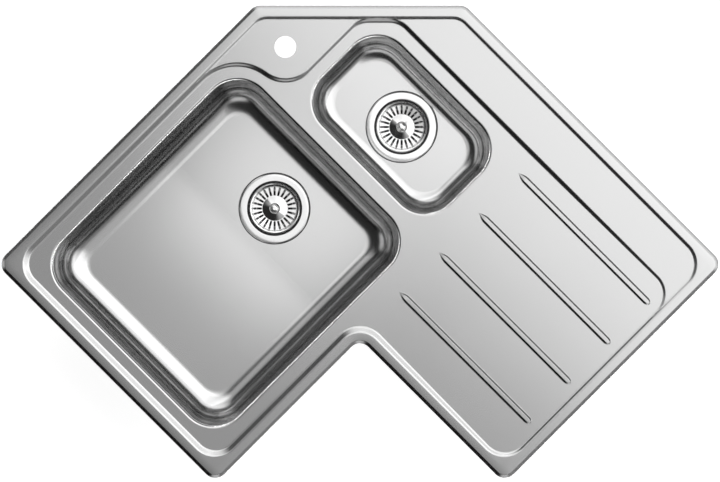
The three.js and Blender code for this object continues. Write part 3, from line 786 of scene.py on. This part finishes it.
def deck_surface():
    """The deck's top face.

    The rolled edge, the rim and the steps are profiles carried along the plan's rounded
    loops. The level areas between them are filled, and the ribs are set into the last one.
    """
    arc_start, arc_end, _, _ = tangents(WET)
    seam_a, seam_b = arc_end[1], arc_start[6]

    # Loops start at seam A, where the tap's bay has run out, and pass seam B at the ledge's end.
    wet = np.roll(split_side(split_side(WET, 5, seam_b), 1, seam_a), -2, axis=0)
    tray = np.roll(split_side(split_side(TRAY, 4, seam_b), 0, seam_a), -1, axis=0)
    edge = deck_corners(EDGE_RADII)
    edge = np.roll(split_side(split_side(edge, 4, seam_b), 0, seam_a), -1, axis=0)
    steps = steps_for(tray)

    def edge_row(distance, z):
        return at_height(loop(inset(edge, distance), steps)[0], z)

    shoulder = RIM_WIDTH - RIM_SHOULDER
    run = (RIM_Z - RIM_FALL - LIP_TOP_Z) / math.tan(ROLL_PITCH)
    top = RIM_Z - RIM_FALL * (shoulder - run) / shoulder
    roll = filleted((0, LIP_Z, 0), (0, LIP_TOP_Z, ROLL_ROUNDS[0]), (run, top, ROLL_ROUNDS[1]),
                    (shoulder, RIM_Z, 0))
    rows = [edge_row(distance, z) for distance, z in roll]

    line, inward, firsts = loop(tray, steps)
    for distance in [-1.9, *np.linspace(-STEP_EASE, TRAY_REACH, 9)]:
        rows.append(on_deck(line + inward * distance))
    rim = net(rows)

    wet_line, wet_inward, wet_firsts = loop(wet)
    join_b, wet_join_b = firsts[5], wet_firsts[5]

    # The ledge's margins: both steps' feet, narrowed where the ledge runs out.
    foot = line + inward * TRAY_REACH
    ledge = np.r_[join_b:len(line), 0]
    gap = narrowed(-inside_by(WET, foot[ledge]))
    tray_rows = [on_deck(foot[ledge] + inward[ledge] * (gap * k)[:, None])
                 for k in np.linspace(0, 1, 6)]
    wet_ledge = np.r_[wet_join_b:len(wet_line), 0]
    gap = narrowed(inside_by(TRAY, wet_line[wet_ledge]) - TRAY_REACH)
    wet_rows = [on_deck(wet_line[wet_ledge] - wet_inward[wet_ledge] * (gap * k)[:, None])
                for k in np.linspace(1, 0, 6)]

    reach = (LEDGE_Z - wet_z(wet_line[:, 0])) * STEP_SLOPE + STEP_EASE + 0.6
    inner = [on_deck(wet_line + wet_inward * (reach * k)[:, None]) for k in np.linspace(0, 1, 15)]

    # The ledge itself, with the tap's hole.
    angle = np.linspace(0, 2 * math.pi, ROUND_SIDES + 1)[:-1]
    hole = np.column_stack([
        TAP["u"] + TAP["hole_r"] * np.cos(angle), -TAP["v"] + TAP["hole_r"] * np.sin(angle)])
    around = np.concatenate([tray_rows[-1][:-1, :2], wet_rows[0][::-1, :2][:-1]])
    ledge_area = fill([around, hole], deck_z)

    # The wet area, with the bowls' openings and the ribs.
    throats, openings = [], []
    for bowl in BOWLS.values():
        profile = [(0, DECK_FLOOR_Z), (0, WET_Z - THROAT_R - 0.6)]
        turns = np.linspace(0, math.pi / 2, 11)
        profile += [(THROAT_R * (1 - math.cos(t)), WET_Z - THROAT_R + THROAT_R * math.sin(t))
                    for t in turns]
        profile.append((THROAT_R + 0.8, WET_Z))
        base = steps_for(rectangle(bowl, 0, BOWL_CORNER_R))
        rows = [at_height(loop(rectangle(bowl, -out, BOWL_CORNER_R + out), base)[0], z)
                for out, z in profile]
        throats.append(net(rows[::-1]))
        openings.append(rows[-1][:, :2])
    ribs = [rib_patch(RIB["first_v"] + i * RIB["pitch"]) for i in range(RIB["count"])]
    wet_area = fill([inner[-1][:, :2], *openings, *(outline for _, outline in ribs)], deck_z)

    return join(rim, net(tray_rows, closed=False), net(wet_rows, closed=False), net(inner),
                ledge_area, wet_area, *throats, *(surface for surface, _ in ribs))


# ---------------------------------------------------------------- the bowls

def floor_level(bowl):
    """Height of a bowl's floor at the outlet's seat."""
    return WET_Z - bowl["depth"] - bowl["outlet_fall"]


def floor_climb(bowl, p):
    """Rise of a bowl's floor over the outlet's seat: none round the outlet, then an even slope
    to the front foot, with a parabola where it starts."""
    return bowl["slope"] * eased(-p[:, 1] - bowl["waste"][1] - LEVEL_REACH, LEVEL_EASE)


def bowl_surface(bowl):
    """A bowl's inner face: a wall that leans in as a smooth step, a quarter round at its
    foot, a floor level round the outlet, and a sunk seat round the outlet's hole."""
    floor = floor_level(bowl)
    lean = WALL_DRAFT * (bowl["depth"] - THROAT_R - bowl["foot_r"])
    top, foot = DECK_FLOOR_Z, floor + bowl["foot_r"]
    share = np.linspace(0, 1, 15)
    profile = [(lean * t * t * (3 - 2 * t), top + (foot - top) * t, 0) for t in share]
    profile += [(lean + bowl["foot_r"] * (1 - math.cos(t)), foot - bowl["foot_r"] * math.sin(t),
                 math.sin(t)) for t in np.linspace(0, math.pi / 2, 19)[1:]]
    profile.append((profile[-1][0] + 0.5, floor, 1))
    base = steps_for(rectangle(bowl, 0, BOWL_CORNER_R))
    rows = []
    for distance, z, weight in profile:
        line = loop(rectangle(bowl, distance, BOWL_CORNER_R - 0.55 * distance), base)[0]
        rows.append(at_height(line, z + weight * floor_climb(bowl, line)))

    centre = np.array([bowl["waste"][0], -bowl["waste"][1]])
    angle = 2 * math.pi * np.arange(ROUND_SIDES) / ROUND_SIDES
    ring = np.column_stack([np.cos(angle), np.sin(angle)])
    seat = filleted((SEAT_TOP_R, floor, 0), (SEAT_R, floor - SEAT_DEPTH, 0.5),
                    (OUTLET_HOLE_R, floor - SEAT_DEPTH, 0))
    rounds = [at_height(centre + ring * r, z) for r, z in seat]
    floor_area = fill([rows[-1][:, :2], rounds[0][:, :2]],
                      lambda p: floor + floor_climb(bowl, p), FLOOR_SPACING)
    return join(net(rows), floor_area, net(rounds))


def pad_surface(bowl, low, high):
    """The damping pad's top: its CAD plan, laid under the floor and as steep as it is."""
    outline = loop(corners(
        (low[0], -high[1], PAD_CORNER_R), (low[0], -low[1], PAD_CORNER_R),
        (high[0], -low[1], PAD_CORNER_R), (high[0], -high[1], PAD_CORNER_R)))[0]
    under = floor_level(bowl) - SHEET - PAD_GAP
    return fill([outline], lambda p: under + floor_climb(bowl, p), FLOOR_SPACING)


# ---------------------------------------------------------------- the wastes

def cup_surface():
    """The steel cup: a crowned flange, a ledge for the basket, a straight wall, a sloped foot,
    and a floor with six drain holes, left out of the net between whole columns."""
    profile = filleted(
        (57.5, -1.9, 0), (57.3, -0.2, 0.4), (56.2, 0.78, 0.8), (45.0, 0.95, 0.8),
        (43.8, GROOVE_IN_CUP, 0.3), (41.9, GROOVE_IN_CUP, 0.3), (41.7, LEDGE_IN_CUP, 0.3),
        (CUP_R, LEDGE_IN_CUP, 0.9), (CUP_R, CUP_FLOOR + 3.6, 2), (30.3, CUP_FLOOR, 0.8),
        (DRAINS["outer"], CUP_FLOOR, 0), (DRAINS["inner"], CUP_FLOOR, 0), (2.9, CUP_FLOOR, 0))
    points, faces = turned(profile, CUP_SIDES)
    radius = np.linalg.norm(points[:, :2], axis=1)[faces].mean(1)
    middle = points[faces].mean(1)
    angle = np.degrees(np.arctan2(middle[:, 1], middle[:, 0])) % 60
    pierced = (radius > DRAINS["inner"]) & (radius < DRAINS["outer"])
    pierced &= middle[:, 2] < CUP_FLOOR + 0.1
    pierced &= (angle < DRAINS["web"][0]) | (angle > DRAINS["web"][1])
    return thicken(points, faces[~pierced], SHEET)


def basket_surface():
    """The pressed basket: a rolled rim, a short wall, a slotted floor and a raised boss.

    The net's columns follow the slots' sides: at a radius r a side stands at the angle whose
    sine is half the slot's width over r. The slots are left out of the net.
    """
    count, inner, outer, width = (SLOTS[k] for k in ("count", "inner", "outer", "width"))
    shape = filleted(
        (41.4, -1.3, 0), (41.2, -0.2, 0.4), (39.9, 0.3, 0.5), (37.6, -0.5, 0.5),
        (36.9, -4.6, 1.5), (36.2, -9.9, 0.9), (20.2, -10.6, 1.2), (8.6, -8.05, 0.8),
        (6.8, -3.2, 0.8), (3.6, -2.3, 0))
    quarter = np.linspace(0, math.pi / 2, SLOT_ROUND)
    ends = np.concatenate([
        outer - width / 2 * (1 - np.cos(quarter)),
        np.linspace(outer - width / 2, inner + width / 2, 8)[1:-1],
        inner + width / 2 * (1 - np.cos(quarter[::-1]))])
    floor = (shape[:, 0] < outer + 0.2) & (shape[:, 0] > inner - 0.2) & (shape[:, 1] < -9)
    on_floor = np.column_stack([ends, np.interp(ends, shape[::-1, 0], shape[::-1, 1])])
    clear = ~floor | (shape[:, 0] > outer + 0.05) | (shape[:, 0] < inner - 0.05)
    past_middle = np.cumsum(shape[:, 0] < (inner + outer) / 2) > 0
    before, after = clear & ~past_middle, clear & past_middle
    profile = np.concatenate([shape[before], on_floor, shape[after]])
    r = profile[:, 0]
    middle = np.clip(r, inner, outer)
    to_end = np.minimum(middle - inner, outer - middle)
    rounding = np.sqrt(np.clip(1 - (1 - to_end / (width / 2)) ** 2, 0.01, 1))
    rounding = np.where(to_end > width / 2, 1, rounding)
    side = np.arcsin(np.clip(width / 2 * rounding / np.maximum(r, 8), 0, 1))
    pitch = 2 * math.pi / count
    share = np.arange(1, SLOT_GAP) / SLOT_GAP
    columns = np.concatenate([
        -side[:, None], side[:, None],
        side[:, None] + (pitch - 2 * side[:, None]) * share], axis=1)
    angle = columns[:, None, :] + pitch * np.arange(count)[None, :, None]
    angle = angle.reshape(len(r), -1)
    points = np.stack([r[:, None] * np.cos(angle), r[:, None] * np.sin(angle),
                       np.broadcast_to(profile[:, 1:2], angle.shape)], axis=-1)
    points, faces = net(list(points))
    row, column = np.divmod(np.arange(len(faces)), angle.shape[1])
    low, high = int(before.sum()), int(before.sum()) + len(on_floor) - 1
    slotted = (row >= low) & (row < high) & (column % (SLOT_GAP + 1) == 0)
    return thicken(points, faces[~slotted], BASKET_SHEET)


def knob_surface():
    """Knob, stem and seal plate: one turned profile."""
    profile = filleted(
        (0, -27.2, 0), (22, -27.2, 0.3), (22, -26, 0.5), (6, -25, 2), (3.1, -22, 1),
        (3.1, -2.1, 0.2), (4.4, -2.1, 0.3), (5.3, -0.5, 0.4), (4.3, 0.8, 0.5), (5.9, 2.6, 0.9),
        (5.4, 4.1, 1), (3.0, 4.85, 1.5), (0, 4.9, 0))
    return turned(profile, KNOB_SIDES)


def seal_surface():
    """Rubber ring under the seal plate, with a thin lip."""
    profile = filleted(
        (8, -30.7, 0), (27.4, -30.7, 0.6), (30, -30.2, 0.25), (28.8, -28.9, 0.6),
        (28.2, -27.5, 0.7), (8, -27.5, 0))
    return turned(profile, RING_SIDES, closed=True)


def ring_surface(inner, outer, low, high):
    """A flat ring with rounded edges."""
    e = min(0.4, (high - low) / 3, (outer - inner) / 3)
    middle = (inner + outer) / 2
    profile = filleted((middle, low, 0), (outer, low, e), (outer, high, e),
                       (inner, high, e), (inner, low, e), (middle, low, 0))
    return turned(profile[:-1], RING_SIDES, closed=True)


def body_surface():
    """Moulded body: a flange, a ribbed cup, a funnel, and a spigot whose thread is a ridge
    that climbs one pitch a turn and fades at both ends."""
    thread_top, thread_end, pitch, height = -53.0, SPIGOT_END + 2.5, 2.309, 0.9
    rows = np.arange(thread_end, thread_top, pitch / 8)
    outside = filleted((SPIGOT_R - 0.8, SPIGOT_END, 0), (SPIGOT_R - 0.3, SPIGOT_END + 0.6, 0.3),
                       (SPIGOT_R - height, thread_end - 0.5, 0))
    spigot = np.column_stack([np.full(len(rows), SPIGOT_R - height), rows])
    upper = filleted(
        (SPIGOT_R - height, thread_top, 0), (SPIGOT_R, -51, 0.6), (SPIGOT_R, -49.5, 2),
        (44, -40, 3), (44, BODY_TOP - 3.2, 1.2), (57, BODY_TOP - 3.2, 0.8), (57, BODY_TOP, 0.6),
        (41, BODY_TOP, 0.4), (41, -38, 3), (SPIGOT_R - 3.4, -47, 3),
        (SPIGOT_R - 3.4, SPIGOT_END, 0))
    profile = np.concatenate([outside, spigot, upper])
    points, faces = turned(profile, ROUND_SIDES, closed=True)
    radius, z = np.linalg.norm(points[:, :2], axis=1), points[:, 2]
    turn = np.arctan2(points[:, 1], points[:, 0]) / (2 * math.pi)
    ridge = 0.5 - 0.5 * np.cos(2 * math.pi * (z / pitch - turn))
    fade = np.clip((z - thread_end) / 2, 0, 1) * np.clip((thread_top - z) / 3, 0, 1)
    threaded = (radius > SPIGOT_R - height - 0.05) & (z >= thread_end) & (z <= thread_top)
    radial = points[:, :2] / np.maximum(radius, 1e-9)[:, None]
    points[:, :2] += radial * (height * ridge * fade * threaded)[:, None]
    return outward((points, faces))


# ---------------------------------------------------------------- putting it together

piece("deck_pressing", thicken(*deck_surface(), SHEET), DECK_STEEL,
      stands_for=["deck"], back=MILL_STEEL)

for side, bowl in BOWLS.items():
    piece(f"{side}_bowl_pressing", thicken(*bowl_surface(bowl), SHEET), BOWL_STEEL,
          stands_for=[f"{side}_bowl"], back=MILL_STEEL)
    pad_low, pad_high = (corner / MM + [ORIGIN, -ORIGIN, 0]
                         for corner in map(np.array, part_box(f"{side}_sound_pad")))
    piece(f"{side}_damping_pad", thicken(*pad_surface(bowl, pad_low, pad_high), PAD_THICK),
          BITUMEN, stands_for=[f"{side}_sound_pad"])
    waste = (bowl["waste"][0], -bowl["waste"][1], floor_level(bowl))
    under = -SEAT_DEPTH - SHEET
    for what, surface, material, body, slot in [
        ("waste_cup", cup_surface(), WASTE_STEEL, "root", "waste_steel"),
        ("waste_body", body_surface(), PLASTIC, "root", "waste_plastic"),
        *((ring, outward(ring_surface(*sizes)), RUBBER, "root", "gasket_rubber")
          for ring, *sizes in [
              ("flange_gasket", GASKET_INNER_R, 54, -SEAT_DEPTH + 0.3, -0.9),
              ("body_gasket", GASKET_INNER_R, 56, BODY_TOP + 0.3, under - 0.3),
              ("groove_ring", 42.4, 43.7, GROOVE_IN_CUP + 0.1, -1.3),
              # A black ring in the gap round the flange: painted shadow, a dark line where shade
              # falls at the seat's edge.
              ("edge_bead", 57.7, 58.6, 0.1 - SEAT_DEPTH, -0.5)]),
        ("basket", basket_surface(), BASKET_STEEL, f"{side}_basket", "basket_steel"),
        ("plug_knob", outward(knob_surface()), BASKET_STEEL, f"{side}_plug", "basket_steel"),
        ("plug_seal", outward(seal_surface()), RUBBER, f"{side}_plug", "plug_rubber"),
    ]:
        node = f"{side}_{what}"
        piece(f"{node}_made", moved(surface, waste), material, body,
              [node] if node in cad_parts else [])

CARRIED = {"rim_seal": FOAM, "clamp_screw": ZINC, "bracket": ZINC,
           "screw": ZINC, "claw": ZINC}
for name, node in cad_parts.items():
    for ending, material in CARRIED.items():
        if name.endswith(ending) and not node.hide_render:
            node.data.materials.clear()
            node.data.materials.append(material)

# ---------------------------------------------------------------- floor, light and camera

FLOOR_Z = -0.262
FLOOR_HALF = 30.0
FLOOR_LIFT = 0.75  # emission of the floor, where the camera, gloss or glass sees it
ZENITH = 0.39
STRIP = 10.0
DARK_SIDE = 0.02
CORNER_GLOW = 0.5
LENS = 279  # long, so the plan looks flat
CAMERA_PLACE = (0.2609, -0.2607, 9.0)
LAMPS = [  # name, size, place, brightness
    ("overhead_panel", (4.5, 3.0), (0.26, 1.35, 2.6), 0.77),
    ("bowl_panel", (0.34, 0.24), (0.115, -0.325, 1.2), 0.56),
]


def floor_material():
    """A pale floor. To the camera, gloss and glass it is lifted to white, and keeps a shadow."""
    made = bpy.data.materials.new("studio_floor")
    made.use_nodes = True
    tree = made.node_tree
    shader = tree.nodes["Principled BSDF"]
    shader.inputs["Base Color"].default_value = grey(0.9)
    shader.inputs["Roughness"].default_value = 0.9
    paths = tree.nodes.new("ShaderNodeLightPath")
    seen = maths(tree, "MAXIMUM", paths.outputs["Is Camera Ray"], paths.outputs["Is Glossy Ray"])
    seen = maths(tree, "MAXIMUM", seen, paths.outputs["Is Transmission Ray"])
    shader.inputs["Emission Color"].default_value = grey(1.0)
    wire(tree, (maths(tree, "MULTIPLY", seen, FLOOR_LIFT), shader.inputs["Emission Strength"]))
    return made


def studio():
    """Floor, a world, a wide panel over the back of the sink and a small one over its bowls.

    The world has a grey patch overhead, a bright back, a faint side, a dark front and a soft
    glow in the two front corners. At the two sides a narrow bright strip lies just over the
    horizon, for the highlights on rounded edges. The camera itself sees the world as white.
    """
    mesh = bpy.data.meshes.new("floor")
    r = FLOOR_HALF
    plan = [(-r, -r), (r, -r), (r, r), (-r, r)]
    mesh.from_pydata([(*p, FLOOR_Z) for p in plan], [], [(0, 1, 2, 3)])
    mesh.materials.append(floor_material())
    floor = bpy.data.objects.new("floor", mesh)
    bpy.context.scene.collection.objects.link(floor)

    world = bpy.data.worlds.new("studio")
    bpy.context.scene.world = world
    world.use_nodes = True
    tree = world.node_tree
    direction = tree.nodes.new("ShaderNodeTexCoord").outputs["Generated"]
    parts = tree.nodes.new("ShaderNodeSeparateXYZ")
    wire(tree, (direction, parts.inputs[0]))
    x, y, z = (parts.outputs[axis] for axis in "XYZ")

    def soft(value, low, high, to_low, to_high):
        """A smooth step from one value to another, between two places."""
        result = ranged(tree, value, low, high, to_low, to_high)
        result.node.interpolation_type = "SMOOTHSTEP"
        return result

    def product(*factors):
        result = factors[0]
        for factor in factors[1:]:
            result = maths(tree, "MULTIPLY", result, factor)
        return result

    def total(*terms):
        result = terms[0]
        for term in terms[1:]:
            result = maths(tree, "ADD", result, term)
        return result

    back = soft(y, 0.05, 0.5, 0.0, 1.0)
    side = total(soft(x, -0.32, -0.06, 0, ZENITH), soft(x, -0.52, -0.36, ZENITH, 0))
    upper = total(product(soft(y, -0.3, -0.04, 0, 1), side), product(back, 0.3), DARK_SIDE)
    wide = soft(maths(tree, "ABSOLUTE", x), 0.34, 0.5, 0, 1)
    front_corners = product(soft(y, -0.5, -0.34, CORNER_GLOW, 0), wide, soft(z, 0.0, 0.05, 0, 1),
                            soft(z, 0.5, 0.62, 1, 0))
    lower = total(product(back, 1.05), soft(x, 0.2, 0.9, 0.0, 0.18))
    strip = product(soft(z, 0.02, 0.05, 0, 1), soft(z, 0.10, 0.13, STRIP, 0),
                    soft(maths(tree, "ABSOLUTE", x), 0.6, 0.8, 0, 1))
    light = total(product(upper, soft(z, 0.56, 0.66, 0, 1)),
                  product(lower, soft(z, 0.34, 0.42, 0, 1), soft(z, 0.56, 0.66, 1, 0)), strip,
                  front_corners)
    seen = tree.nodes.new("ShaderNodeLightPath").outputs["Is Camera Ray"]
    light = maths(tree, "MAXIMUM", product(light, maths(tree, "SUBTRACT", 1.0, seen)), seen)
    tree.nodes["Background"].inputs["Color"].default_value = grey(1)
    wire(tree, (light, tree.nodes["Background"].inputs["Strength"]))

    for name, size, place, brightness in LAMPS:
        lamp = bpy.data.lights.new(name, "AREA")
        lamp.shape = "RECTANGLE"
        lamp.size, lamp.size_y = size
        lamp.energy = brightness * math.pi * size[0] * size[1]
        panel = bpy.data.objects.new(name, lamp)
        panel.location = place
        bpy.context.scene.collection.objects.link(panel)


def camera():
    """Straight down on the deck, with its back corner up, from far enough to look flat."""
    data = bpy.data.cameras.new("camera")
    data.sensor_width = 36
    data.lens = LENS
    data.clip_end = 100
    made = bpy.data.objects.new("camera", data)
    made.location = CAMERA_PLACE
    made.rotation_euler = (0, 0, math.pi / 4)
    bpy.context.scene.collection.objects.link(made)
    bpy.context.scene.camera = made


studio()
camera()
bpy.context.scene.view_settings.view_transform = "Standard"
